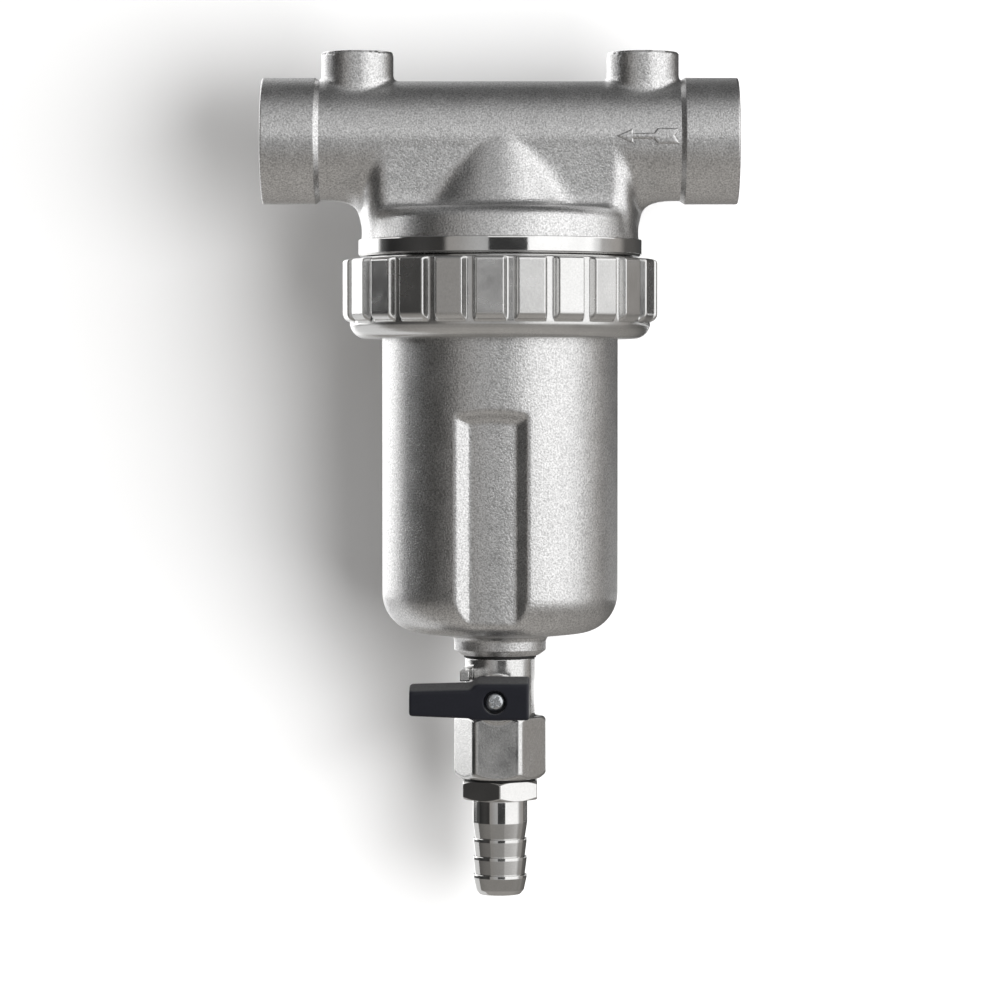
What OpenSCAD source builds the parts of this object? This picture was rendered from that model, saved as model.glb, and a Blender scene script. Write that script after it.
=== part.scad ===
/* [Pipe] */
// Distance between the two port faces
port_span = 128; // [120:1:150]
// Outside diameter of the cast pipe
pipe_d = 32.2; // [31:0.1:36]
// How far a port collar stands above the pipe
collar_step = 0.9; // [0.5:0.1:2]
// Length of a port collar
collar_len = 14.3; // [10:0.1:18]
// Length of the slope at the inner end of a collar
collar_slope = 1.5; // [0.5:0.1:3]
// Major diameter of the port threads
port_thread_d = 26.44; // [24:0.02:27.5]
// Depth of the port threads
port_depth = 16; // [12:0.5:18]
// Bore of the pipe behind the threads
pipe_bore_d = 22; // [18:0.5:23]
// Distance between the two gauge bosses
gauge_spacing = 76.8; // [70:0.2:80]
// Outside diameter of a gauge boss
gauge_boss_d = 19.4; // [18:0.1:22]
// Height of a gauge boss above the pipe
gauge_boss_h = 7.7; // [6:0.1:12]
// Major diameter of the gauge threads
gauge_thread_d = 13.16; // [11:0.02:14]
// Depth of the gauge threads
gauge_depth = 10; // [8:0.5:11]

/* [Head] */
// Length of the cast chamber under the pipe
chamber_len = 70; // [66:0.5:72]
// Radius of the chamber's upright corners
chamber_corner_r = 5.5; // [3:0.1:7]
// Radius of the fillet between pipe and flange
fillet_r = 5.5; // [3:0.1:7]
// Height of the head flange
flange_h = 8.2; // [5:0.1:10]
// Draft of the flange wall over its height
flange_draft = 0.6; // [0:0.1:1]
// Height of the turned band under the flange
band_h = 4.5; // [3:0.1:6]
// Length of the threaded neck
neck_len = 12.9; // [12:0.1:20]
// Outside diameter of the spigot that carries the cartridge
spigot_d = 34; // [30:0.5:36]
// Length of that spigot
spigot_len = 16; // [12:0.5:18]

/* [Bowl] */
// Outside diameter of the bowl
bowl_d = 63.5; // [62:0.5:76]
// Wall of the bowl
bowl_wall = 5; // [4:0.05:5.5]
// Length of the bowl without the drain boss
bowl_len = 87.4; // [75:0.2:130]
// Outer corner radius at the foot of the bowl
bowl_corner_r = 10.8; // [9:0.1:13]
// Width of the floor of a bowl recess
recess_w = 12.4; // [8:0.2:16]
// Depth of a bowl recess
recess_depth = 3.1; // [1.5:0.1:3.2]
// Rise of a recess side over its width
recess_rise = 0.7; // [0.5:0.05:1.2]
// Distance from the joint face to the recess
recess_start = 29; // [20:0.5:40]
// Outside diameter of the drain boss
boss_d = 24.8; // [23:0.2:28]
// Turn of bowl and drain valve about the bowl axis
bowl_turn = -4; // [-10:0.5:10]

/* [Lock ring] */
// Wall of the ring nut under the lugs
nut_wall = 4.5; // [3.5:0.1:6]
// Number of grip lugs
lug_count = 24; // [16:1:30]
// Height of a grip lug
lug_h = 1.95; // [1:0.05:3]
// Space between the turned band and the nut
nut_space = 0.7; // [0.5:0.1:4]
// Thickness of the nut's lip under the bowl flange
lip_t = 4.2; // [2.5:0.1:5]
// Thickness of the slip ring
slip_t = 1; // [0.6:0.1:2]
// Turn of the lugs about the bowl axis
nut_turn = -3.6; // [-10:0.1:10]

/* [Cartridge] */
// Outside diameter of the mesh cage
cage_d = 41; // [40:0.2:42]
// Rows of windows in the cage
window_rows = 4; // [2:1:6]

/* [Drain] */
// Major diameter of the drain threads
drain_thread_d = 16.66; // [16:0.02:17.4]
// Diameter of the ball
ball_d = 14.4; // [13.6:0.1:14.6]
// Bore of the ball and the seats
drain_bore_d = 9; // [7:0.1:9.2]
// Diameter of the valve barrel
barrel_d = 19.9; // [19:0.1:21]
// Width across the flats of the valve hexagon
valve_af = 22; // [21:0.5:24]
// Diameter of the valve stem
stem_d = 7; // [6:0.1:7.4]
// Length of the lever from the stem axis to the tip
lever_len = 23; // [18:0.5:40]
// Width across the flats of the hose tail hexagon
tail_af = 20; // [19:0.5:22]
// Outside diameter of the plain hose tail
tail_d = 14.74; // [13:0.02:15]
// Number of barbs on the hose tail
barb_count = 3; // [2:1:4]

/* [Fits] */
// Radial clearance in the lock ring thread
thread_gap = 0.3; // [0.2:0.05:0.4]
// Radial clearance around the bowl in the nut lip and the slip ring
lip_gap = 0.5; // [0.3:0.05:0.8]
// Radial clearance between cartridge and bowl seat
seat_gap = 0.4; // [0.3:0.05:0.8]
// Running clearance of ball and stem
run_gap = 0.05; // [0.02:0.01:0.1]
// Clearance between pieces that stay together
rest_gap = 0.12; // [0.05:0.01:0.2]

/* [Hidden] */
$fn = 96;
pipe_r = pipe_d / 2;
port_r = port_thread_d / 2;
bore_r = pipe_bore_d / 2;
gauge_r = gauge_thread_d / 2;
half = port_span / 2;
bowl_r = bowl_d / 2;
bowl_in = bowl_r - bowl_wall;
rim_r = bowl_r + 3.75;
neck_r = rim_r + 0.2;
nut_bore = neck_r + thread_gap;
nut_r = nut_bore + nut_wall;
lug_r = nut_r + lug_h;
band_r = neck_r + 2.45;
flange_r = band_r - 0.8;
lip_r = bowl_r + lip_gap;
room_r = bowl_in + 2;
seal_r = (room_r + rim_r) / 2;
seal_sec = 1.3;
seal_h = 2.2;
z_flange = -(pipe_r + 2.3);
z_band = z_flange - flange_h;
z_neck = z_band - band_h;
z_joint = z_neck - neck_len;
z_room = z_joint + spigot_len + 4;
z_spigot = z_room - spigot_len;
rim_h = 4;
z_rim = z_joint - rim_h;
z_lip = z_rim - slip_t;
z_nut = z_neck - nut_space;
z_nut_end = z_lip - lip_t;
z_foot = z_joint - bowl_len;
z_floor = z_foot + 4.4;
z_seat = z_floor - 2;
z_boss = z_foot - 7.1;
spigot_r = spigot_d / 2;
spigot_in = spigot_r - 4;
cage_r = cage_d / 2;
cage_in = cage_r - 1.5;
mesh_r = cage_in - 0.1;
mesh_in = mesh_r - 0.5;
ring_r = cage_r + 1.1;
z_cage_top = z_spigot - 3.2;
z_cage_end = z_floor + 3.2;
foot_r = ring_r - 4.6;
foot_in = foot_r - 3;
thr_r = drain_thread_d / 2;
gasket_t = 0.6;
z_face = z_boss - gasket_t;
male_len = 6.7;
ball_r = ball_d / 2;
hole_r = drain_bore_d / 2;
pocket_r = ball_r + 0.4;
pocket_half = 7;
z_ball = z_face - 10.9;
barrel_r = barrel_d / 2;
z_barrel = z_face - 3.2;
z_hex = z_ball - 5;
z_hex_end = z_hex - 16.9;
seat_t = 3.8;
seat_out = ball_r - 0.2;
retainer_t = 3.2;
stem_r = stem_d / 2;
collar_y = 9;
seal_y = [10.2, 11.9];
boss_y = 13;
stem_boss_r = 6;
stop_x = 9.6;
stop_y = 16;
stop_z = z_ball + 5.3;
stop_size = [2.6, 12, 3.1];
skirt_y = boss_y + 0.3;
plate_y = 14.8;
screw_y = 17;
front_y = 19.5;
arm_tip = [3.8, 4.6];
arm_root = [4.7, 5.4];
hub = [4.8, 6.7];
hub_left = 4.9;
hub_right = 9;
skirt_r = 4.6;
lever_bevel = 1.9;
lever_edge = 0.4;
drive_w = stem_r * 1.3;
screw_r = 1.45;
head_r = 2.6;
washer_t = 0.5;
z_tail = z_hex_end - washer_t;
tail_r = tail_d / 2;
z_plain = z_tail - 5;
z_barb = z_plain - 6.4;
barb_r = tail_r - 0.17;
root_r = tail_r - 0.67;
barb_pitch = 4.9;
barb_first = 4.9;
barb_lead = 1;
barb_land = 0.5;
tail_thread_len = 9;
z_end = z_barb - barb_first - barb_pitch * barb_count + 0.1;

function arc(cx, cz, r, a0, a1, n = 8) =
    [for (i = [0:n]) let (a = a0 + (a1 - a0) * i / n) [cx + r * cos(a), cz + r * sin(a)]];

// Moves a piece drawn about the crossing of pipe and bowl axis into the part's frame
module place() {
    translate([-half, 0, 0]) children();
}

// Same, for pieces that are turned with the bowl
module place_bowl() {
    translate([-half, 0, 0]) rotate([0, 0, bowl_turn]) children();
}

// A ring with a rectangular section
module ring(r_in, r_out, z0, z1) {
    translate([0, 0, z1]) difference() {
        cylinder(r = r_out, h = z0 - z1);
        translate([0, 0, -1]) cylinder(r = r_in, h = z0 - z1 + 2);
    }
}

// A body of revolution about the bowl axis
module turned(points) {
    rotate_extrude() polygon(points);
}

// A round bar that runs toward the front from depth y0 to depth y1
module bar_y(r, y0, y1) {
    translate([0, -y0, z_ball]) rotate([90, 0, 0]) cylinder(r = r, h = y1 - y0);
}

// A round bar along the pipe axis
module bar_x(r, x0, x1) {
    translate([x0, 0, 0]) rotate([0, 90, 0]) cylinder(r = r, h = x1 - x0);
}

// Plan of the cast chamber, with rounded corners
module chamber_plan() {
    w = chamber_len / 2;
    d = pipe_r - 0.2;
    c = chamber_corner_r;
    polygon(concat(
        arc(w - c, d - c, c, 0, 90, 6),
        arc(-w + c, d - c, c, 90, 180, 6),
        arc(-w + c, -d + c, c, 180, 270, 6),
        arc(w - c, -d + c, c, 270, 360, 6)
    ));
}

// Cast fillet between the pipe and the side of the flange
module pipe_fillet() {
    r = fillet_r;
    translate([0, 7, 0]) rotate([90, 0, 0]) linear_extrude(14) polygon(concat(
        [[flange_r - 3, -pipe_r + 4], [flange_r + r, -pipe_r + 4]],
        arc(flange_r + r, -pipe_r - r + 0.4, r, 90, 180, 6),
        [[flange_r - 3, -pipe_r - r + 0.4]]
    ));
}

// Port collar with a slope at its inner end
module collar() {
    bar_x(pipe_r + collar_step, half - collar_len, half);
    translate([half - collar_len - collar_slope, 0, 0]) rotate([0, 90, 0])
        cylinder(r1 = pipe_r - 0.2, r2 = pipe_r + collar_step, h = collar_slope);
}

module head_solid() {
    bar_x(pipe_r, -half, half);
    for (s = [0, 1]) mirror([s, 0, 0]) {
        collar();
        translate([gauge_spacing / 2, 0, 0]) cylinder(d = gauge_boss_d, h = pipe_r + gauge_boss_h);
        pipe_fillet();
    }
    translate([0, 0, z_flange - 4]) linear_extrude(-z_flange + 4) chamber_plan();
    turned([
        [0, 1], [pipe_r - 0.1, 1], [pipe_r + 6.9, z_flange + 1.9],
        [pipe_r + 6.9, z_flange - 3], [0, z_flange - 3]
    ]);
    turned(concat(
        [[0, z_joint], [0, z_flange]],
        arc(flange_r - flange_draft - 4, z_flange - 4, 4, 90, 0, 8),
        [[flange_r, z_band], [band_r, z_band], [band_r, z_neck + 0.6], [band_r - 0.6, z_neck],
        [neck_r, z_neck], [neck_r, z_joint]]
    ));
}

module head_body() {
    color([0.72, 0.72, 0.72]) place() difference() {
        head_solid();
        bar_x(bore_r, -half + port_depth - 1, -room_r + 9);
        bar_x(bore_r, 0, half - port_depth + 1);
        bar_x(port_r, -half - 1, -half + port_depth);
        bar_x(port_r, half - port_depth, half + 1);
        for (s = [-1, 1]) translate([s * gauge_spacing / 2, 0, 0]) {
            translate([0, 0, pipe_r + gauge_boss_h - gauge_depth])
                cylinder(r = gauge_r, h = gauge_depth + 1);
            translate([0, 0, bore_r / 2]) cylinder(r = gauge_r / 2, h = pipe_r);
        }
        translate([0, 0, z_spigot - 1]) cylinder(r = spigot_in, h = 5 - z_spigot);
        translate([-room_r + 0.5, -8, z_room - 1]) cube([9, 16, -z_room - 3]);
        difference() {
            translate([0, 0, z_joint - 1]) cylinder(r = room_r, h = z_room - z_joint + 1);
            translate([0, 0, z_spigot]) cylinder(r = spigot_r, h = spigot_len + 1);
        }
    }
}

module cartridge_top_ring() {
    in_r = spigot_r + 0.15;
    skirt = 7;
    color([0.15, 0.16, 0.18]) place() difference() {
        turned([
            [in_r, z_spigot + skirt],
            [ring_r, z_spigot + skirt],
            [ring_r, z_spigot - skirt],
            [cage_r + rest_gap, z_spigot - skirt],
            [cage_r + rest_gap, z_cage_top + rest_gap],
            [mesh_in - rest_gap, z_cage_top + rest_gap],
            [mesh_in - rest_gap, z_spigot - skirt],
            [mesh_in - 1.2, z_spigot - skirt],
            [mesh_in - 1.2, z_spigot - 2.3],
            [spigot_in + 1, z_spigot - 2.3],
            [spigot_in + 1, z_spigot - 0.3],
            [in_r, z_spigot - 0.3]
        ]);
        ring(spigot_r - 1, spigot_r + 2.3, z_spigot + 3.8, z_spigot + 1.2);
    }
}

module cartridge_seal() {
    color([0.07, 0.07, 0.07]) place() translate([0, 0, z_spigot + 2.5]) rotate_extrude()
        translate([spigot_r + 1.1, 0]) circle(r = 1.05, $fn = 32);
}

module mesh_cage() {
    h = z_cage_top - z_cage_end;
    step = (h - 12) / window_rows;
    color([0.2, 0.21, 0.23]) place() difference() {
        ring(cage_in, cage_r, z_cage_top, z_cage_end);
        for (k = [0:window_rows - 1]) for (a = [0:45:135])
            translate([0, 0, z_cage_end + 6 + step * (k + 0.5)]) rotate([0, 0, a])
                cube([cage_d + 10, cage_d * 0.27, step - 3], center = true);
    }
}

module filter_mesh() {
    color([0.75, 0.76, 0.77]) place() ring(mesh_in, mesh_r, z_cage_top, z_cage_end);
}

module cartridge_bottom_ring() {
    skirt = 4;
    color([0.15, 0.16, 0.18]) place() turned([
        [foot_in, z_seat + 0.5],
        [foot_r, z_seat + 0.5],
        [foot_r, z_floor + 1.5],
        [ring_r, z_floor + 1.5],
        [ring_r, z_cage_end + skirt],
        [cage_r + rest_gap, z_cage_end + skirt],
        [cage_r + rest_gap, z_cage_end - rest_gap],
        [mesh_in - rest_gap, z_cage_end - rest_gap],
        [mesh_in - rest_gap, z_cage_end + skirt],
        [mesh_in - 1.2, z_cage_end + skirt],
        [mesh_in - 1.2, z_cage_end - 0.7],
        [foot_in, z_floor + 0.5]
    ]);
}

// Long recess in the wall of the bowl
module recess() {
    f = bowl_r - recess_depth;
    w = recess_w / 2;
    root = sqrt(f * f - w * w) - recess_rise;
    side = (bowl_r + 1 - root) / recess_rise - 1;
    difference() {
        intersection() {
            translate([0, 0, z_foot - 2]) linear_extrude(z_joint - recess_start - z_foot + 2) polygon([
                [1 - w, -root], [w - 1, -root], [w + side, -bowl_r - 1], [-w - side, -bowl_r - 1]
            ]);
            translate([-20, 0, 0]) rotate([90, 0, 90]) linear_extrude(40) polygon([
                [-f - 5, z_foot - 3], [-f + 2, z_foot - 3], [-f + 2, z_joint - recess_start - 4.5],
                [-f - 5, z_joint - recess_start + 2]
            ]);
        }
        translate([0, 0, z_foot - 3]) cylinder(r = f, h = z_joint - z_foot);
    }
}

module bowl() {
    color([0.7, 0.7, 0.7]) place_bowl() difference() {
        turned(concat(
            [[0, z_joint], [rim_r, z_joint], [rim_r, z_rim], [bowl_r, z_rim]],
            arc(bowl_r - bowl_corner_r, z_foot + bowl_corner_r, bowl_corner_r, 0, -90, 10),
            [[boss_d / 2, z_foot - 2], [boss_d / 2, z_boss + 1.4], [boss_d / 2 - 2, z_boss], [0, z_boss]]
        ));
        turned(concat(
            [[0, z_joint + 1], [room_r, z_joint + 1], [room_r, z_joint - 1.5], [bowl_in, z_joint - 4]],
            arc(bowl_in - 7, z_floor + 7, 7, 0, -90, 8),
            [[0, z_floor]]
        ));
        translate([0, 0, z_seat]) cylinder(r = foot_r + seat_gap, h = 3);
        translate([0, 0, z_boss - 1]) cylinder(r = hole_r + 1, h = z_seat - z_boss + 2);
        translate([0, 0, z_boss - 1]) cylinder(r = thr_r + rest_gap, h = 8);
        ring(seal_r - seal_sec - 0.2, seal_r + seal_sec + 0.2, z_joint + 1, z_joint - seal_h);
        for (a = [0, 180]) rotate([0, 0, a]) recess();
    }
}

module bowl_seal() {
    color([0.07, 0.07, 0.07]) place() intersection() {
        translate([0, 0, z_joint - seal_h / 2]) rotate_extrude()
            translate([seal_r, 0]) circle(r = seal_sec, $fn = 32);
        ring(seal_r - 3, seal_r + 3, z_joint, z_joint - seal_h);
    }
}

module slip_ring() {
    color([0.8, 0.66, 0.36]) place() ring(lip_r, rim_r, z_rim, z_lip);
}

// Plan of the grip lugs, with drafted sides
module lug_plan() {
    w = 360 / lug_count;
    for (i = [0:lug_count - 1]) rotate(-90 + nut_turn + i * w) polygon([
        [nut_bore + 1, -nut_bore * sin(w * 0.42)],
        [nut_r, -nut_r * sin(w * 0.42)],
        [lug_r + 1, -lug_r * sin(w * 0.313)],
        [lug_r + 1, lug_r * sin(w * 0.313)],
        [nut_r, nut_r * sin(w * 0.42)],
        [nut_bore + 1, nut_bore * sin(w * 0.42)]
    ]);
}

module ring_nut() {
    r = 3.8;
    color([0.68, 0.68, 0.68]) place() difference() {
        union() {
            turned(concat(
                [[nut_bore - 8, z_nut_end], [nut_bore - 8, z_nut], [nut_r - 1, z_nut], [nut_r, z_nut - 1]],
                arc(nut_r - r, z_nut_end + r, r, 0, -90, 8)
            ));
            intersection() {
                turned(concat(
                    [[nut_bore + 2, z_nut_end + 2], [nut_bore + 2, z_nut]],
                    arc(lug_r - 1.2, z_nut - 1.2, 1.2, 90, 0, 4),
                    arc(lug_r - 2, z_nut_end + 6, 2, 0, -90, 5),
                    [[nut_bore + 3, z_nut_end + 2]]
                ));
                translate([0, 0, z_nut_end]) linear_extrude(z_nut - z_nut_end) lug_plan();
            }
        }
        translate([0, 0, z_lip]) cylinder(r = nut_bore, h = z_nut - z_lip + 1);
        translate([0, 0, z_nut_end - 1]) cylinder(r = lip_r, h = z_nut - z_nut_end);
    }
}

module drain_gasket() {
    color([0.06, 0.06, 0.06]) place_bowl() ring(thr_r + rest_gap, barrel_r - 0.2, z_boss, z_face);
}

// Hexagon with turned ends, flats toward the front when turn is 30
module hexagon(af, z0, z1, bevel0, bevel1, turn) {
    c = af / 2 / cos(30);
    intersection() {
        translate([0, 0, z1]) rotate([0, 0, turn]) cylinder(r = c, h = z0 - z1, $fn = 6);
        turned([
            [0, z0], [c - bevel0, z0], [c + 0.05, z0 - bevel0 * 0.6],
            [c + 0.05, z1 + bevel1 * 0.6], [c - bevel1, z1], [0, z1]
        ]);
    }
}

module valve_body() {
    color([0.66, 0.66, 0.65]) place_bowl() difference() {
        union() {
            turned([
                [0, z_boss + male_len], [thr_r - 0.8, z_boss + male_len], [thr_r, z_boss + male_len - 0.8],
                [thr_r, z_face], [barrel_r - 0.45, z_face], [barrel_r - 0.45, z_barrel],
                [barrel_r, z_barrel - 0.5], [barrel_r, z_hex - 1], [0, z_hex - 1]
            ]);
            hexagon(valve_af, z_hex, z_hex_end, 1, 2.2, 0);
            bar_y(stem_boss_r, 0, boss_y);
            translate([-stop_x, -stop_y, stop_z]) cube(stop_size);
        }
        translate([0, 0, z_hex]) cylinder(r = hole_r + 0.1, h = z_boss + male_len + 1 - z_hex);
        translate([0, 0, z_ball - pocket_half]) cylinder(r = pocket_r, h = 2 * pocket_half);
        translate([0, 0, z_hex_end - 1]) cylinder(r = thr_r, h = z_ball - pocket_half - z_hex_end + 1);
        bar_y(stem_r + run_gap, 0, boss_y + 1);
        bar_y(stem_r + 1.1 + run_gap, 0, collar_y + 0.5);
    }
}

module seat(s) {
    difference() {
        translate([0, 0, z_ball + (s > 0 ? pocket_half - seat_t : -pocket_half)])
            cylinder(r = seat_out + 0.4, h = seat_t);
        translate([0, 0, z_ball - 10]) cylinder(r = hole_r + 0.1, h = 20);
        translate([0, 0, z_ball]) sphere(r = ball_r + run_gap);
    }
}

module upper_seat() {
    color([0.95, 0.95, 0.93]) place_bowl() seat(1);
}

module lower_seat() {
    color([0.95, 0.95, 0.93]) place_bowl() seat(-1);
}

module seat_retainer() {
    z0 = z_ball - pocket_half;
    color([0.8, 0.66, 0.36]) place_bowl() difference() {
        ring(hole_r + 0.1, thr_r - rest_gap, z0, z0 - retainer_t);
        translate([0, 0, z0 - retainer_t]) cube([1.6, thr_r * 2 + 2, 2], center = true);
    }
}

module ball() {
    color([0.82, 0.82, 0.82]) place_bowl() difference() {
        translate([0, 0, z_ball]) rotate([0, 90, 0]) sphere(r = ball_r);
        translate([-ball_r - 1, 0, z_ball]) rotate([0, 90, 0]) cylinder(r = hole_r, h = 2 * ball_r + 2);
        translate([-1.2, -ball_r - 1, z_ball - ball_r]) cube([2.4, 3, 2 * ball_r]);
    }
}

module valve_stem() {
    color([0.8, 0.68, 0.4]) place_bowl() difference() {
        union() {
            bar_y(stem_r, collar_y - 1, boss_y + 0.1);
            bar_y(stem_r + 1.1, collar_y - 1.2, collar_y);
            translate([-1.1, -collar_y + 0.5, z_ball - 2.6]) cube([2.2, 3, 5.2]);
            translate([-drive_w / 2, -screw_y + 0.4, z_ball - drive_w / 2]) cube([drive_w, 5, drive_w]);
        }
        bar_y(screw_r + 0.03, collar_y, screw_y);
        for (y = seal_y) difference() {
            bar_y(stem_r + 1, y - 0.65, y + 0.65);
            bar_y(stem_r - 1.2, y - 1, y + 1);
        }
    }
}

module stem_washer() {
    color([0.95, 0.95, 0.93]) place_bowl() difference() {
        bar_y(stem_r + 1.1, collar_y, collar_y + 0.5);
        bar_y(stem_r + run_gap, collar_y - 1, collar_y + 1);
    }
}

module stem_seals() {
    color([0.07, 0.07, 0.07]) place_bowl() for (y = seal_y)
        translate([0, -y, z_ball]) rotate([90, 0, 0]) rotate_extrude()
            translate([stem_r - 0.6, 0]) circle(r = 0.58, $fn = 32);
}

// Plate of the lever from x0 to x1, with a slope along its upper edge.
// Each end states how far it reaches below and above the stem axis
module lever_plate(x0, x1, end0, end1) {
    back = plate_y - front_y + lever_bevel;
    hull() {
        translate([0, -plate_y, z_ball]) rotate([90, 0, 0]) linear_extrude(-back)
            polygon([[x0, -end0[0]], [x1, -end1[0]], [x1, end1[1]], [x0, end0[1]]]);
        translate([0, -plate_y, z_ball]) rotate([90, 0, 0]) linear_extrude(front_y - plate_y) polygon([
            [x0 + lever_edge, -end0[0] + lever_edge], [x1 - lever_edge, -end1[0] + lever_edge],
            [x1 - lever_edge, end1[1] - lever_bevel], [x0 + lever_edge, end0[1] - lever_bevel]
        ]);
    }
}

module drain_lever() {
    color([0.05, 0.05, 0.06]) place_bowl() difference() {
        union() {
            lever_plate(-lever_len, 2, arm_tip, arm_root);
            lever_plate(-hub_left, hub_right, hub, hub);
            bar_y(skirt_r, skirt_y, plate_y + 1);
        }
        translate([-drive_w / 2 - 0.05, -screw_y - 0.5, z_ball - drive_w / 2 - 0.05])
            cube([drive_w + 0.1, 5, drive_w + 0.1]);
        bar_y(head_r + 0.45, screw_y, front_y + 1);
    }
}

module lever_screw() {
    color([0.78, 0.78, 0.76]) place_bowl() difference() {
        union() {
            bar_y(screw_r, collar_y + 1, screw_y + 0.5);
            bar_y(head_r, screw_y, front_y - 0.7);
        }
        for (a = [0, 90]) translate([0, -front_y + 0.7, z_ball]) rotate([0, a, 0])
            cube([3, 1.8, 0.7], center = true);
    }
}

module hose_gasket() {
    color([0.06, 0.06, 0.06]) place_bowl() ring(thr_r + rest_gap, thr_r + 1.3, z_hex_end, z_tail);
}

module hose_tail() {
    barbs = [for (k = [0:barb_count - 1]) each [
        [root_r, z_barb - barb_first + barb_lead - barb_pitch * k],
        [barb_r, z_barb - barb_first + barb_land - barb_pitch * k],
        [barb_r, z_barb - barb_first - barb_pitch * k],
        [root_r, z_barb - barb_first + barb_lead + 0.1 - barb_pitch * (k + 1)]
    ]];
    color([0.76, 0.76, 0.75]) place_bowl() difference() {
        union() {
            turned([
                [0, z_tail + tail_thread_len], [thr_r - 1, z_tail + tail_thread_len],
                [thr_r - rest_gap, z_tail + tail_thread_len - 0.8],
                [thr_r - rest_gap, z_tail - 1], [0, z_tail - 1]
            ]);
            hexagon(tail_af, z_tail, z_plain, 1.2, 1.4, 30 - bowl_turn);
            turned(concat(
                [[0, z_plain + 1], [tail_r, z_plain + 1], [tail_r, z_barb]],
                barbs,
                [[root_r - 0.3, z_end + 1], [root_r - 1.2, z_end], [0, z_end]]
            ));
        }
        translate([0, 0, z_end - 1]) cylinder(r = hole_r + 0.3, h = z_tail - z_end + 12);
    }
}

head_body();
cartridge_top_ring();
cartridge_seal();
mesh_cage();
filter_mesh();
cartridge_bottom_ring();
bowl();
bowl_seal();
slip_ring();
ring_nut();
drain_gasket();
valve_body();
upper_seat();
lower_seat();
seat_retainer();
ball();
valve_stem();
stem_washer();
stem_seals();
drain_lever();
lever_screw();
hose_gasket();
hose_tail();
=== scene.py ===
import bmesh
import bpy
import numpy as np
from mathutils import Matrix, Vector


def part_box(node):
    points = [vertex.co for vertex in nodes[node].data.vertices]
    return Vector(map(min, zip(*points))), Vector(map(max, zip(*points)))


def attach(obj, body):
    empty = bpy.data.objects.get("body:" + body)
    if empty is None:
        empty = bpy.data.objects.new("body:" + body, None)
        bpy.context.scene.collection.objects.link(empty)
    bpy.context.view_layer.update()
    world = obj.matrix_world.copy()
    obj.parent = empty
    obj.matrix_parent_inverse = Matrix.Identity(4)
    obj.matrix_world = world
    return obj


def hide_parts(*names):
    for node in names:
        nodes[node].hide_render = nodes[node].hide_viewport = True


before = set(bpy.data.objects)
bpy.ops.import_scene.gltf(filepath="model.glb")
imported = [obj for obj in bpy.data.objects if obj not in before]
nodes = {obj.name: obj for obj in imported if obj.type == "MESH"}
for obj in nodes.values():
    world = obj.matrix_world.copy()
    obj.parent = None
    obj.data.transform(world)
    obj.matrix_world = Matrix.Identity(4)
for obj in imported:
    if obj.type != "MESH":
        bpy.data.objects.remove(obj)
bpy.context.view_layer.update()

# Head casting. A sand-cast brass pipe with two gauge bosses and a chamber that swells into a round flange,
# bead-blasted and nickel-plated. All edges of the mould are softly rounded, so it is made as the zero
# surface of a distance field in which the plain forms run into each other with fillets.
pipe_low, pipe_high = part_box("head_body")
crossing = np.array([(pipe_low.x + pipe_high.x) / 2, 0.0, 0.0])
per_metre = 1000
half_span = (pipe_high.x - pipe_low.x) * per_metre / 2
pipe_r = 16.1
pipe_end = half_span - 6
boss_x = 38.4
boss_r = 9.7
boss_top = pipe_high.z * per_metre
boss_facing = 0.1
boss_fillet = 1.6
chamber_half_x = 35.0
chamber_half_y = 15.9
chamber_corner = 5.5
cone_r = 16.4
cone_top = 2.0
cone_slope = 0.4
flange_r = 37.35
flange_top = -18.4
flange_bottom = -26.6
flange_draft = 0.6
flange_fillet = 11.0
shoulder_r = 4.0
fillet_least = 0.3
fillet_growth = 2.1
fillet_top = -2.0
fillet_run = 8.0
cast_bottom = -28.0
bore_r = 11.0
outlet_bore_start = 20.0
port_room_r = 14.8
port_room_depth = 16.5
gauge_room_r = 8.2
gauge_room_depth = 14.3
gauge_way_r = 3.6
room_r = 28.75
room_top = -24.0
room_lap = 0.2
spigot_in = 13.0
spigot_way_top = 5.0
window_middle = np.array([-24.0, 0.0, -15.0])
window_half = np.array([4.5, 8.0, 11.0])
way_edge = 0.5
# A cut or a join runs past the face it meets by this much.
past = 1.0
head_grid_low = (-59.5, -39.0, cast_bottom)
head_grid_high = (59.5, 39.0, 25.5)
head_grid_step = 0.7
weld = 1e-7


def placed(name, data):
    """Object of the given data, linked to the scene at the origin."""
    made = bpy.data.objects.new(name, data)
    bpy.context.scene.collection.objects.link(made)
    return made


def finished_piece(name, points, faces, body, material):
    """Mesh object from points in millimetres about the crossing of pipe and bowl axis."""
    points = np.asarray(points).reshape(-1, 3)
    mesh = bpy.data.meshes.new(name)
    mesh.vertices.add(len(points))
    mesh.vertices.foreach_set("co", (points / per_metre + crossing).ravel())
    mesh.loops.add(faces.size)
    mesh.loops.foreach_set("vertex_index", faces.astype(np.int32).ravel())
    mesh.polygons.add(len(faces))
    mesh.polygons.foreach_set("loop_start", np.arange(0, faces.size, faces.shape[1], dtype=np.int32))
    mesh.update(calc_edges=True)
    shell = bmesh.new()
    shell.from_mesh(mesh)
    bmesh.ops.remove_doubles(shell, verts=shell.verts, dist=weld)
    bmesh.ops.recalc_face_normals(shell, faces=shell.faces)
    shell.to_mesh(mesh)
    shell.free()
    mesh.shade_smooth()
    mesh.materials.append(material)
    made = placed(name, mesh)
    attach(made, body)
    return made


def joined(a, b, fillet):
    """Union of two distance fields with a fillet: the smaller one, lowered where both are near."""
    near = np.maximum(fillet - np.abs(a - b), 0) / fillet
    return np.minimum(a, b) - near * near * fillet / 4


def trimmed(a, b, edge):
    """What is inside both fields, with its edge rounded."""
    return -joined(-a, -b, edge)


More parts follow.
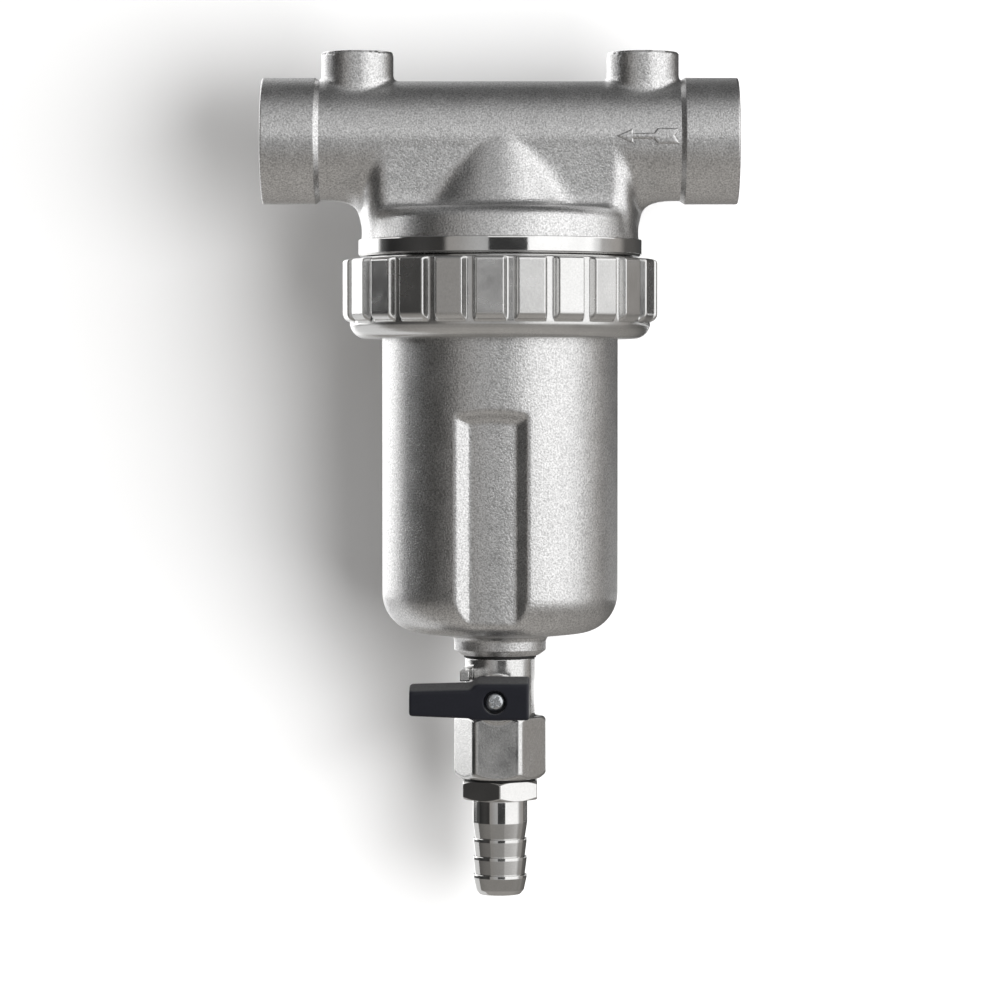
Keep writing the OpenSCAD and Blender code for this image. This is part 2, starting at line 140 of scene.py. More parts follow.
def rod(u, v, along, r, start, end):
    """Distance to a round bar: radius across, and the two end planes along it."""
    return np.maximum(np.hypot(u, v) - r, np.maximum(start - along, along - end))


def block(p, middle, half):
    """Distance to a square block: the largest of the three offsets past its sides."""
    return (np.abs(p - middle) - half).max(-1)


def slanted(offset, slope):
    """True distance to a slanting side: the offset straight across, times the cosine of its slope."""
    return offset * np.cos(np.arctan(slope))


def cast_surface(field, low, high, step, rounds=4):
    """Closed surface where a field is zero. Each grid cell that the surface crosses gets one point, at the
    mean of the crossings on its edges, each crossed grid edge becomes a square between its four cells,
    and the points are then drawn onto the zero surface along the field's slope."""
    axes = [np.arange(a, b + step, step) for a, b in zip(low, high)]
    grid = np.stack(np.meshgrid(*axes, indexing="ij"), -1)
    value = field(grid)
    cells = tuple(n - 1 for n in value.shape)
    total = np.zeros(cells + (3,))
    count = np.zeros(cells)
    crossed = []
    for axis in range(3):
        first = np.take(value, range(0, value.shape[axis] - 1), axis)
        last = np.take(value, range(1, value.shape[axis]), axis)
        cross = (first < 0) != (last < 0)
        share = np.where(cross, first / np.where(cross, first - last, 1), 0)
        at = np.take(grid, range(0, value.shape[axis] - 1), axis).copy()
        at[..., axis] += share * step
        sides = [a for a in range(3) if a != axis]
        for one in (0, 1):
            for two in (0, 1):
                window = [slice(None)] * 3
                window[sides[0]] = slice(one, one + cells[sides[0]])
                window[sides[1]] = slice(two, two + cells[sides[1]])
                window = tuple(window)
                total += at[window] * cross[window][..., None]
                count += cross[window]
        crossed.append((axis, sides, cross))
    used = count > 0
    number = np.full(cells, -1)
    number[used] = np.arange(used.sum())
    points = total[used] / count[used][:, None]
    faces = []
    for axis, sides, cross in crossed:
        where = np.argwhere(cross)
        inner = np.all((where[:, sides] > 0) & (where[:, sides] < np.array(cells)[sides]), 1)
        where = where[inner]
        ring = []
        for one, two in ((1, 1), (0, 1), (0, 0), (1, 0)):
            cell = where.copy()
            cell[:, sides[0]] -= one
            cell[:, sides[1]] -= two
            ring.append(number[tuple(cell.T)])
        faces.append(np.stack(ring, 1))
    nudge = 0.02
    least_steep = 0.2
    for _ in range(rounds):
        slope = np.stack([
            field(points + nudge * np.eye(3)[a]) - field(points - nudge * np.eye(3)[a]) for a in range(3)
        ], -1) / (2 * nudge)
        steep = np.maximum((slope ** 2).sum(-1, keepdims=True), least_steep)
        points = points - np.clip(field(points)[:, None] * slope / steep, -step / 2, step / 2)
    return points, np.concatenate(faces)


def head_field(p):
    """Pipe, bosses, chamber, cone and flange run together with fillets, less the waterways."""
    across, y, z = p[..., 0], p[..., 1], p[..., 2]
    x = np.abs(across)
    out = np.hypot(x, y)
    pipe = rod(y, z, x, pipe_r, -past, pipe_end)
    boss = rod(x - boss_x, y, z, boss_r, 0, boss_top - boss_facing)
    corner_x = x - (chamber_half_x - chamber_corner)
    corner_y = np.abs(y) - (chamber_half_y - chamber_corner)
    plan = np.hypot(np.maximum(corner_x, 0), np.maximum(corner_y, 0)) - chamber_corner
    plan = plan + np.minimum(np.maximum(corner_x, corner_y), 0)
    chamber = np.maximum(plan, np.maximum(z, cast_bottom - z))
    cone = slanted(out - cone_r + z * cone_slope, cone_slope)
    cone = np.maximum(cone, np.maximum(z - cone_top, cast_bottom - z))
    lean = np.clip((z - flange_bottom) / (flange_top - shoulder_r - flange_bottom), 0, 1)
    side = out - flange_r + flange_draft * lean + shoulder_r
    top = z - flange_top + shoulder_r
    flange = np.hypot(np.maximum(side, 0), np.maximum(top, 0)) - shoulder_r
    flange = flange + np.minimum(np.maximum(side, top), 0)
    run_out = fillet_least + fillet_growth * np.clip((fillet_top - z) / fillet_run, 0, 1)
    body = joined(joined(pipe, flange, flange_fillet), cone, run_out)
    body = joined(body, chamber, run_out)
    body = joined(body, boss, boss_fillet)
    body = np.maximum(body, cast_bottom - z)
    ways = np.minimum.reduce([
        rod(y, z, across, bore_r, 0, half_span),
        rod(y, z, -across, bore_r, outlet_bore_start, half_span),
        rod(y, z, x, port_room_r, half_span - port_room_depth, half_span),
        rod(x - boss_x, y, z, gauge_room_r, boss_top - gauge_room_depth, boss_top + past),
        rod(x - boss_x, y, z, gauge_way_r, 0, boss_top),
        rod(x, y, z, spigot_in, cast_bottom - past, spigot_way_top),
        rod(x, y, z, room_r - room_lap, cast_bottom - past, room_top),
        block(p, window_middle, window_half),
    ])
    return trimmed(body, -ways, way_edge)


def node_group(name, inputs, outputs):
    """Empty shader node group with named sockets, and its two ends."""
    made = bpy.data.node_groups.new(name, "ShaderNodeTree")
    for label, kind, value in inputs:
        socket = made.interface.new_socket(label, in_out="INPUT", socket_type=kind)
        socket.default_value = value
    for label, kind in outputs:
        made.interface.new_socket(label, in_out="OUTPUT", socket_type=kind)
    start = made.nodes.new("NodeGroupInput")
    end = made.nodes.new("NodeGroupOutput")
    return made, start, end


def noise(tree, size, detail, where):
    """Noise whose lumps are about the given size in metres, on the piece's own coordinates."""
    made = tree.nodes.new("ShaderNodeTexNoise")
    made.inputs["Scale"].default_value = 1 / size
    made.inputs["Detail"].default_value = detail
    tree.links.new(where, made.inputs["Vector"])
    return made.outputs["Fac"]


def feed(tree, given, socket):
    """Gives a socket a plain number, or links it to another node's output."""
    if isinstance(given, (int, float)):
        socket.default_value = given
    else:
        tree.links.new(given, socket)


def calculated(tree, operation, *given):
    """Result of one step of arithmetic on numbers or other nodes' outputs."""
    made = tree.nodes.new("ShaderNodeMath")
    made.operation = operation
    for value, socket in zip(given, made.inputs):
        feed(tree, value, socket)
    return made.outputs[0]


def spread(tree, value, low, high):
    """Carries a value from 0.3 to 0.7, where most of a noise lies, onto a new range."""
    made = tree.nodes.new("ShaderNodeMapRange")
    given = {"Value": value, "From Min": 0.3, "From Max": 0.7, "To Min": low, "To Max": high}
    for label, one in given.items():
        feed(tree, one, made.inputs[label])
    return made.outputs["Result"]


def tinted(tree, colour, factor):
    """Colour times a factor that changes over the surface."""
    made = tree.nodes.new("ShaderNodeVectorMath")
    made.operation = "SCALE"
    tree.links.new(colour, made.inputs[0])
    tree.links.new(factor, made.inputs["Scale"])
    return made.outputs["Vector"]


# Grain of a blasted metal surface: fine pits and specks over a slow change of tone.
pit_size = 0.00045
cloud_size = 0.006
grain_detail = 2
cloud_dimmest = 0.96
cloud_brightest = 1.04
grain, grain_in, grain_out = node_group(
    "metal_grain",
    [("Tone", "NodeSocketColor", (0.6, 0.6, 0.6, 1)), ("Speck", "NodeSocketFloat", 0.1),
     ("Smoothest", "NodeSocketFloat", 0.3), ("Roughest", "NodeSocketFloat", 0.5)],
    [("Colour", "NodeSocketColor"), ("Roughness", "NodeSocketFloat"), ("Height", "NodeSocketFloat")],
)
grain_place = grain.nodes.new("ShaderNodeTexCoord").outputs["Object"]
grain_pits = noise(grain, pit_size, grain_detail, grain_place)
grain_cloud = noise(grain, cloud_size, grain_detail, grain_place)
speck_low = calculated(grain, "SUBTRACT", 1, grain_in.outputs["Speck"])
speck_high = calculated(grain, "ADD", 1, grain_in.outputs["Speck"])
grain_specks = spread(grain, grain_pits, speck_low, speck_high)
grain_tone = tinted(grain, grain_in.outputs["Tone"], grain_specks)
grain_tone = tinted(grain, grain_tone, spread(grain, grain_cloud, cloud_dimmest, cloud_brightest))
grain.links.new(grain_tone, grain_out.inputs["Colour"])
grain.links.new(
    spread(grain, grain_cloud, grain_in.outputs["Smoothest"], grain_in.outputs["Roughest"]),
    grain_out.inputs["Roughness"],
)
grain.links.new(grain_pits, grain_out.inputs["Height"])


def grained(name, tone, speck, smoothest, roughest, pit_depth, pit_strength):
    """Material whose tone, roughness and pits come from the grain."""
    made = bpy.data.materials.new(name)
    made.use_nodes = True
    tree = made.node_tree
    shader = tree.nodes["Principled BSDF"]
    surface = tree.nodes.new("ShaderNodeGroup")
    surface.node_tree = grain
    surface.inputs["Tone"].default_value = (*tone, 1)
    surface.inputs["Speck"].default_value = speck
    surface.inputs["Smoothest"].default_value = smoothest
    surface.inputs["Roughest"].default_value = roughest
    bump = tree.nodes.new("ShaderNodeBump")
    bump.inputs["Strength"].default_value = pit_strength
    bump.inputs["Distance"].default_value = pit_depth
    tree.links.new(surface.outputs["Height"], bump.inputs["Height"])
    tree.links.new(surface.outputs["Colour"], shader.inputs["Base Color"])
    tree.links.new(surface.outputs["Roughness"], shader.inputs["Roughness"])
    tree.links.new(bump.outputs["Normal"], shader.inputs["Normal"])
    return made


def plated(name, tone, speck, smoothest, roughest, pit_depth):
    """Bare or plated metal with a grain of its own strength."""
    made = grained(name, tone, speck, smoothest, roughest, pit_depth, 1)
    made.node_tree.nodes["Principled BSDF"].inputs["Metallic"].default_value = 1
    return made


blasted_nickel = plated("blasted_nickel", (0.66, 0.657, 0.655), 0.32, 0.28, 0.34, 0.00009)
head_points, head_faces = cast_surface(head_field, head_grid_low, head_grid_high, head_grid_step)
head_casting = finished_piece("head_casting", head_points, head_faces, "head", blasted_nickel)
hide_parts("head_body")

# Port collars. The ends of the pipe are turned after casting and cut with a parallel pipe thread.
# Each is a ring spun about the pipe axis, with the thread as a helix in its bore.
collar_r = 17.0
collar_start = half_span - 14.3
collar_slope = 1.5
collar_foot_r = pipe_r - 0.1
collar_root_r = pipe_r - 1.2
collar_lap = 2.0
collar_step = 0.18
port_r = 13.22
port_flare = 0.7
port_wall_r = port_r - 0.4
port_chamfer = half_span - 1.2
port_end = half_span - 16.0
port_end_cone = 0.4
port_pitch = 1.814
port_thread_end = port_end + 1
port_thread_depth = 0.9
port_thread_sink = 0.35


def rounded(rows):
    """Closed outline from rows of across, along and corner radius; larger corners get more arc steps."""
    rows = np.array(rows, float)
    place, size = rows[:, :2], rows[:, 2]
    line = []
    for here, before, after, r in zip(place, np.roll(place, 1, 0), np.roll(place, -1, 0), size):
        if r <= 0:
            line.append(here[None])
            continue
        back = (before - here) / np.linalg.norm(before - here)
        ahead = (after - here) / np.linalg.norm(after - here)
        half_angle = np.arccos(np.clip(back @ ahead, -1, 1)) / 2
        middle = here + (back + ahead) / np.linalg.norm(back + ahead) * r / np.sin(half_angle)
        start = here + back * r / np.tan(half_angle) - middle
        end = here + ahead * r / np.tan(half_angle) - middle
        sweep = np.pi - 2 * half_angle
        share = np.linspace(0, 1, int(r) + 4)[:, None]
        swing = start * np.sin((1 - share) * sweep) + end * np.sin(share * sweep)
        line.append(middle + swing / np.sin(sweep))
    return np.concatenate(line)


def evenly(line, step):
    """Closed outline with points added so that no stretch is longer than its step."""
    after = np.roll(line, -1, 0)
    parts = np.maximum(np.ceil(np.linalg.norm(after - line, axis=1) / step), 1).astype(int)
    run = np.repeat(np.arange(len(line)), parts)
    share = (np.arange(parts.sum()) - np.repeat(np.cumsum(parts) - parts, parts)) / parts[run]
    return line[run] + (after - line)[run] * share[:, None]


def turns(steps):
    """Angles of a full turn, zero toward the front."""
    return np.arange(steps)[:, None] * 2 * np.pi / steps


def spun(angle, r, z):
    """Points of an outline carried round the bowl axis."""
    r, z, angle = np.broadcast_arrays(r, z, angle)
    return np.stack([r * np.sin(angle), -r * np.cos(angle), z], -1)


def closed_ring(rows, columns):
    """Squares of a grid that closes both ways."""
    i, j = np.meshgrid(np.arange(rows), np.arange(columns), indexing="ij")
    i2, j2 = (i + 1) % rows, (j + 1) % columns
    corners = [i * columns + j, i2 * columns + j, i2 * columns + j2, i * columns + j2]
    return np.stack(corners, -1).reshape(-1, 4)


def ring_piece(name, points, body, material):
    """Piece from an outline carried round an axis, a grid of points that closes both ways."""
    return finished_piece(name, points, closed_ring(*points.shape[:2]), body, material)


def thread(along, angle, pitch, start, end, depth):
    """Ridge of a thread: a triangle wave along the helix, steepened and clipped to flat crests and roots,
    fading out over half a pitch at both ends."""
    steepness = 1.7
    root_share = 0.35
    wave = np.abs((along / pitch - angle / (2 * np.pi)) % 1 - 0.5) * 2
    ridge = np.clip(wave * steepness - root_share, 0, 1)
    fade = np.clip((along - start) / (pitch / 2), 0, 1) * np.clip((end - along) / (pitch / 2), 0, 1)
    return depth * ridge * fade


collar_line = evenly(rounded([
    (collar_root_r, collar_start - collar_lap, 0), (collar_foot_r, collar_start - collar_slope, 0.3),
    (collar_r, collar_start, 0.6), (collar_r, half_span, 0.5), (port_r + port_flare, half_span, 0.15),
    (port_wall_r, port_chamfer, 0.2), (port_wall_r, port_end + port_end_cone, 0.2),
    (bore_r, port_end, 0.2), (bore_r, port_end - collar_lap, 0),
    (collar_root_r, port_end - collar_lap, 0),
]), collar_step)
collar_turn = turns(144)
in_bore = (collar_line[:, 0] < port_r) & (collar_line[:, 1] < port_chamfer)
ridge = thread(collar_line[:, 1], collar_turn, port_pitch, port_thread_end, port_chamfer, port_thread_depth)
cut = np.where(in_bore, ridge - port_thread_sink, 0)
collar_round = spun(collar_turn, collar_line[:, 0] + cut, collar_line[:, 1])
for side, label in ((1, "inlet_collar"), (-1, "outlet_collar")):
    collar_points = collar_round[..., [2, 0, 1]] * np.array([side, 1, 1])
    ring_piece(label, collar_points, "head", blasted_nickel)

# Gauge port linings. The tops of the two bosses are faced flat and threaded for a pressure gauge.
# Each lines its boss from the top down to the pipe's bore, with the thread as a helix in it.
gauge_rim_r = boss_r - 0.25
gauge_rim_bottom = boss_top - 1.5
gauge_sleeve_r = 8.6
gauge_r = 6.58
gauge_flare = 0.5
gauge_wall_r = gauge_r - 0.3
gauge_chamfer = boss_top - 0.9
gauge_end = boss_top - 10.0
gauge_end_cone = 0.3
gauge_floor_r = 4.0
gauge_hole_r = 3.3
gauge_foot = gauge_end - 5
gauge_step = 0.16
gauge_pitch = 1.337
gauge_thread_end = gauge_end + 1
gauge_thread_depth = 0.7
gauge_thread_sink = 0.3
turned_nickel = plated("turned_nickel", (0.66, 0.657, 0.655), 0.05, 0.2, 0.28, 0.00001)
gauge_line = evenly(rounded([
    (gauge_rim_r, gauge_rim_bottom, 0), (gauge_rim_r, boss_top, 0.25),
    (gauge_r + gauge_flare, boss_top, 0.1), (gauge_wall_r, gauge_chamfer, 0.15),
    (gauge_wall_r, gauge_end, 0.2), (gauge_hole_r, gauge_end - gauge_end_cone, 0.2),
    (gauge_hole_r, gauge_foot, 0), (gauge_sleeve_r, gauge_foot, 0), (gauge_sleeve_r, gauge_rim_bottom, 0),
]), gauge_step)
gauge_turn = turns(96)
in_bore = (gauge_line[:, 0] < gauge_r) & (gauge_line[:, 0] > gauge_floor_r)
in_bore = in_bore & (gauge_line[:, 1] < gauge_chamfer)
ridge = thread(
    gauge_line[:, 1], gauge_turn, gauge_pitch, gauge_thread_end, gauge_chamfer, gauge_thread_depth)
cut = np.where(in_bore, ridge - gauge_thread_sink, 0)
gauge_round = spun(gauge_turn, gauge_line[:, 0] + cut, gauge_line[:, 1])
for side, label in ((1, "gauge_lining_inlet"), (-1, "gauge_lining_outlet")):
    ring_piece(label, gauge_round + np.array([side * boss_x, 0, 0]), "head", turned_nickel)

# Neck of the head. A bright turned band, the threaded neck for the lock ring and the room that passes
# the clean water up to the outlet, all machined in one setting on a lathe.
band_r = 38.15
band_top = -26.6
band_bottom = -31.1
band_chamfer = 0.6
neck_r = 35.7
joint_z = -44.0
ring_pitch = 2.0
neck_thread_low = joint_z + 0.6
neck_thread_high = band_bottom - 0.8
neck_thread_depth = 0.8
neck_step = 0.3
# A point this near to a stated radius or height counts as lying on it.
hair = 0.1
bright_nickel = plated("bright_nickel", (0.7, 0.697, 0.69), 0.03, 0.06, 0.11, 0.000003)
neck_line = evenly(rounded([
    (room_r, band_top, 0), (band_r, band_top, 0.25), (band_r, band_bottom + band_chamfer, 0.2),
    (band_r - band_chamfer, band_bottom, 0.2), (neck_r, band_bottom, 0.3),
    (neck_r, joint_z, 0.5), (room_r, joint_z, 0.3),
]), neck_step)
neck_turn = turns(240)
ridge = thread(neck_line[:, 1], neck_turn, ring_pitch, neck_thread_low, neck_thread_high, neck_thread_depth)
cut = np.where(neck_line[:, 0] > neck_r - hair, ridge, 0)
neck_round = spun(neck_turn, neck_line[:, 0] - cut, neck_line[:, 1])
ring_piece("head_neck", neck_round, "head", bright_nickel)

# Spigot. The tube inside the head that the cartridge is plugged on, turned from the same casting.
# It starts a little way up in the casting, so that no gap shows at its root.
spigot_r = 17.0
spigot_start = cast_bottom + 4
spigot_end = -40.0
spigot_step = 1.0
spigot_line = evenly(rounded([
    (spigot_in, spigot_start, 0), (spigot_r, spigot_start, 0),
    (spigot_r, spigot_end, 0.6), (spigot_in, spigot_end, 0.4),
]), spigot_step)
spigot_round = spun(turns(120), spigot_line[:, 0], spigot_line[:, 1])
ring_piece("cartridge_spigot", spigot_round, "head", turned_nickel)

# Flow arrow. A low raised arrow cast on the front of the pipe, pointing from the inlet to the outlet:
# a head, a shaft and a tail with a notch, all with the soft edges of the mould.
arrow_tip = 31.0
arrow_neck = 35.5
arrow_tail = 40.2
arrow_end = 46.6
arrow_half = 2.1
arrow_shaft_half = 0.8
arrow_tail_lean = 0.8
arrow_notch_lean = 0.6
arrow_rise = 0.8
arrow_root = 0.6
arrow_lift = 0.5
arrow_lap = 1.0
arrow_edge = 0.7
arrow_grid_low = (arrow_tip - 0.6, -pipe_r - 1, -3)
arrow_grid_high = (arrow_end + 2.4, -pipe_r + 1.2, 4)
arrow_grid_step = 0.17


def arrow_field(p):
    """Plan of the arrow on the unrolled pipe, between a floor inside the wall and a top just above it."""
    along, r = p[..., 0], np.hypot(p[..., 1], p[..., 2])
    off = np.abs(np.arctan2(p[..., 2], -p[..., 1]) * pipe_r - arrow_lift)
    widening = arrow_half / (arrow_neck - arrow_tip)
    head = np.maximum(slanted(off - (along - arrow_tip) * widening, widening), along - arrow_neck)
    ends = np.maximum(arrow_neck - arrow_lap - along, along - arrow_tail - arrow_lap)
    shaft = np.maximum(off - arrow_shaft_half, ends)
    front = slanted(arrow_tail + off * arrow_tail_lean - along, arrow_tail_lean)
    notch = slanted(along - arrow_end - off * arrow_notch_lean, arrow_notch_lean)
    tail = np.maximum(np.maximum(front, notch), off - arrow_half)
    plan = np.minimum(np.minimum(head, shaft), tail)
    return trimmed(plan, np.maximum(r - pipe_r - arrow_rise, pipe_r - arrow_root - r), arrow_edge)


arrow_points, arrow_faces = cast_surface(arrow_field, arrow_grid_low, arrow_grid_high, arrow_grid_step)
finished_piece("flow_arrow", arrow_points, arrow_faces, "head", blasted_nickel)


# Filter cartridge. Two moulded end rings, a windowed cage and a woven wire sleeve, plugged on the spigot.
# The sleeve's weave is drawn by two crossing waves, across and along it. The seals and gaskets of the whole
# filter get their rubber here too.
moulded_speck = 0.12
moulded_smoother = 0.05
moulded_rougher = 0.07
moulded_strength = 0.6
weave_scale = 420
weave_dark = (0.12, 0.12, 0.12, 1)
weave_bright = (0.62, 0.62, 0.61, 1)
weave_bright_from = 0.5


def moulded(name, tone, roughness, sheen_height):
    """Moulded plastic or rubber with a fine eggshell surface."""
    smoothest = roughness - moulded_smoother
    roughest = roughness + moulded_rougher
    return grained(name, tone, moulded_speck, smoothest, roughest, sheen_height, moulded_strength)


def dress(material, *names):
    """Gives solids of the frame their finish."""
    for name in names:
        nodes[name].data.materials.clear()
        nodes[name].data.materials.append(material)


black_moulding = moulded("black_moulding", (0.022, 0.023, 0.026), 0.42, 0.00003)
black_rubber = moulded("black_rubber", (0.012, 0.012, 0.012), 0.55, 0.00002)
dress(black_moulding, "cartridge_top_ring", "cartridge_bottom_ring", "mesh_cage")
dress(black_rubber, "cartridge_seal", "bowl_seal", "drain_gasket", "stem_seals", "hose_gasket")

wire_cloth = bpy.data.materials.new("wire_cloth")
wire_cloth.use_nodes = True
cloth_tree = wire_cloth.node_tree
cloth_shader = cloth_tree.nodes["Principled BSDF"]
cloth_shader.inputs["Metallic"].default_value = 1
cloth_shader.inputs["Roughness"].default_value = 0.35
cloth_place = cloth_tree.nodes.new("ShaderNodeTexCoord").outputs["Object"]
cloth_waves = []
for direction in ("X", "Z"):
    wave = cloth_tree.nodes.new("ShaderNodeTexWave")
    wave.bands_direction = direction
    wave.inputs["Scale"].default_value = weave_scale
    cloth_tree.links.new(cloth_place, wave.inputs["Vector"])
    cloth_waves.append(wave.outputs["Fac"])
weave = calculated(cloth_tree, "MULTIPLY", *cloth_waves)
cloth_tone = cloth_tree.nodes.new("ShaderNodeValToRGB")
cloth_tone.color_ramp.elements[0].color = weave_dark
cloth_tone.color_ramp.elements[1].color = weave_bright
cloth_tone.color_ramp.elements[1].position = weave_bright_from
cloth_tree.links.new(weave, cloth_tone.inputs["Fac"])
cloth_tree.links.new(cloth_tone.outputs["Color"], cloth_shader.inputs["Base Color"])
dress(wire_cloth, "filter_mesh")

# Bowl. A cast cup with a thick rim, two long recesses in its wall and a boss for the drain,
# blasted and plated like the head. It is spun about its axis, and the recesses press the wall in.
bowl_r = 31.75
bowl_in = 26.75
rim_r = 35.5
rim_bottom = joint_z - 4
mouth_top = joint_z - 1.5
groove_in = 30.6
groove_out = 33.65
groove_floor = joint_z - 2.2
foot_z = -131.4
foot_corner = 10.8
foot_cone = 2.1
floor_z = -127.0
floor_corner = 7.0
drain_boss_r = 12.4
drain_boss_z = -138.5
drain_boss_bevel = 2.0
drain_boss_bevel_height = 1.4
drain_thread_r = 8.45
drain_thread_top = drain_boss_z + 7
drain_r = 5.5
seat_r = 17.4
seat_z = floor_z - 2
recess_floor = 28.65
recess_half = 6.2
recess_wall = 0.7
recess_top = -75.0
recess_reach = 20.0
recess_turn = np.radians(-4.0)
recess_end_slope = 1.3
recess_end_run = 4.0
recess_span = 0.8
recess_edge = 0.7
recess_lip = 0.8
bowl_hidden_step = 3.0
bowl_step = 0.8
bowl_line = rounded([
    (room_r, joint_z, 0.3), (groove_in, joint_z, 0.1), (groove_in, groove_floor, 0.1),
    (groove_out, groove_floor, 0.1), (groove_out, joint_z, 0.1), (rim_r, joint_z, 0.4),
    (rim_r, rim_bottom, 0.4), (bowl_r, rim_bottom, 0.6), (bowl_r, foot_z, foot_corner),
    (drain_boss_r, foot_z - foot_cone, 1.4), (drain_boss_r, drain_boss_z + drain_boss_bevel_height, 0.5),
    (drain_boss_r - drain_boss_bevel, drain_boss_z, 0.4), (drain_thread_r, drain_boss_z, 0.1),
    (drain_thread_r, drain_thread_top, 0), (drain_r, drain_thread_top, 0), (drain_r, seat_z, 0.3),
    (seat_r, seat_z, 0.3), (seat_r, floor_z, 0.4), (bowl_in, floor_z, floor_corner),
    (bowl_in, rim_bottom, 0.6), (room_r, mouth_top, 0.4),
])
inside = (bowl_line[:, 0] < bowl_in + hair) & (bowl_line[:, 1] > floor_z - hair)
hidden = inside | (bowl_line[:, 0] < recess_reach)
bowl_line = evenly(bowl_line, np.where(hidden, bowl_hidden_step, bowl_step))
bowl_turn = turns(384)


def softer(a, b, reach, sign):
    """Larger (sign 1) or smaller (sign -1) of two values with a rounded change between them. The smaller is
    the filleted union of both; the larger is the same of the values turned over, and turned back."""
    return -sign * joined(-sign * a, -sign * b, reach)


def pressed_in(angle, r, z):
    """Radius of the wall with the two recesses: a round floor, sloping sides and a sloping upper end."""
    least_ahead = 0.3
    least_gap = 0.2
    root = np.sqrt(recess_floor ** 2 - recess_half ** 2) - recess_wall * recess_half
    for middle in (recess_turn, recess_turn + np.pi):
        turn = (angle - middle + np.pi) % (2 * np.pi) - np.pi
        ahead = np.maximum(np.cos(turn), least_ahead)
        aside = np.abs(np.sin(turn))
        wall = root / np.maximum(ahead - recess_wall * aside, least_gap)
        end = (recess_floor + np.maximum(z - recess_top, -recess_end_run) * recess_end_slope) / ahead
        cut_r = softer(softer(recess_floor, wall, recess_edge, 1), end, recess_edge, 1)
        r = np.where(np.abs(turn) < recess_span, softer(r, cut_r, recess_lip, -1), r)
    return r


wall_from_r = bowl_in + 0.5
wall_from_z = rim_bottom - 1
foot_from_z = foot_z + 4
on_wall = (bowl_line[:, 0] > wall_from_r) & (bowl_line[:, 1] < wall_from_z)
on_foot = (bowl_line[:, 0] > recess_reach) & (bowl_line[:, 1] < foot_from_z)
pressed = pressed_in(bowl_turn, bowl_line[:, 0], bowl_line[:, 1])
bowl_radius = np.where(on_wall | on_foot, pressed, bowl_line[:, 0])
bowl_round = spun(bowl_turn, bowl_radius, bowl_line[:, 1])
bowl_shell = ring_piece("bowl_casting", bowl_round, "bowl_unit", blasted_nickel)
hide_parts("bowl")

# Lock ring. A forged nut with raised grip lugs all round, plated and tumbled to a satin. It is spun like
# the bowl, and the lugs are raised from its outside; the thread is cut in its bore.
nut_top = -31.8
nut_bottom = -53.2
nut_r = 40.5
nut_bore = 36.0
nut_bore_chamfer = 0.6
nut_foot_round = 4.4
nut_outside = nut_r - 3
nut_thread_high = nut_top - 0.8
nut_thread_depth = 0.7
nut_straight_step = 2.0
nut_step = 0.35
lip_r = 32.25
lip_top = -49.0
nut_thread_from = lip_top + 0.5
nut_thread_low = lip_top + 1.5
lug_height = 1.95
lug_count = 24
lug_turn = np.radians(-3.6)
lug_face = 4.7
lug_foot = 6.3
lug_length = 16.8
lug_top_round = 0.9
lug_foot_round = 2.2
satin_nickel = plated("satin_nickel", (0.67, 0.667, 0.66), 0.05, 0.21, 0.28, 0.000006)
straight_top = nut_top - 1.5
straight_end = nut_top - lug_length + 3
nut_line = rounded([
    (nut_bore + nut_bore_chamfer, nut_top, 0.15), (nut_r, nut_top, 0.5), (nut_r, straight_top, 0),
    (nut_r, straight_end, 0), (nut_r, nut_bottom, nut_foot_round), (lip_r, nut_bottom, 0.5),
    (lip_r, lip_top, 0.2), (nut_bore, lip_top, 0.3), (nut_bore, nut_top - nut_bore_chamfer, 0.15),
])
nut_straight = (nut_line[:, 0] == nut_r) & (nut_line[:, 1] == straight_top)
nut_line = evenly(nut_line, np.where(nut_straight, nut_straight_step, nut_step))
pitch_angle = 360 / lug_count
# Columns of one lug, close together where its face ends and on its two flanks.
one_lug = np.concatenate([
    lug_face * np.array([-1, -0.92, -0.8, -0.3, 0.3, 0.8, 0.92]),
    np.linspace(lug_face, lug_foot, 6, endpoint=False),
    np.linspace(lug_foot, pitch_angle - lug_foot, 3, endpoint=False),
    np.linspace(pitch_angle - lug_foot, pitch_angle - lug_face, 6, endpoint=False),
])
lug_middles = np.arange(lug_count)[:, None] * pitch_angle
nut_turn = lug_turn + np.radians(lug_middles + one_lug).reshape(-1, 1)
off_lug = np.abs((np.degrees(nut_turn - lug_turn) + pitch_angle / 2) % pitch_angle - pitch_angle / 2)
flank = np.clip((lug_foot - off_lug) / (lug_foot - lug_face), 0, 1)
flank = flank * flank * (3 - 2 * flank)
down = nut_top - nut_line[:, 1]
top_round = np.sqrt(np.clip(1 - (1 - np.clip(down / lug_top_round, 0, 1)) ** 2, 0, 1))
foot_round = np.sqrt(np.clip(1 - (1 - np.clip((lug_length - down) / lug_foot_round, 0, 1)) ** 2, 0, 1))
on_outside = nut_line[:, 0] > nut_outside
lug_chord = (nut_r + lug_height) * np.cos(np.radians(lug_face))
flat_face = lug_chord / np.cos(np.radians(np.minimum(off_lug, lug_face))) - nut_r
raised = np.where(on_outside, flat_face * flank * top_round * foot_round, 0)
in_bore = (nut_line[:, 0] < nut_bore + hair) & (nut_line[:, 1] > nut_thread_from)
ridge = thread(nut_line[:, 1], nut_turn, ring_pitch, nut_thread_low, nut_thread_high, nut_thread_depth)
cut = np.where(in_bore, ridge, 0)
nut_round = spun(nut_turn, nut_line[:, 0] + raised + cut, nut_line[:, 1])
lock_ring = ring_piece("lock_ring_nut", nut_round, "lock_ring", satin_nickel)
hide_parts("ring_nut")

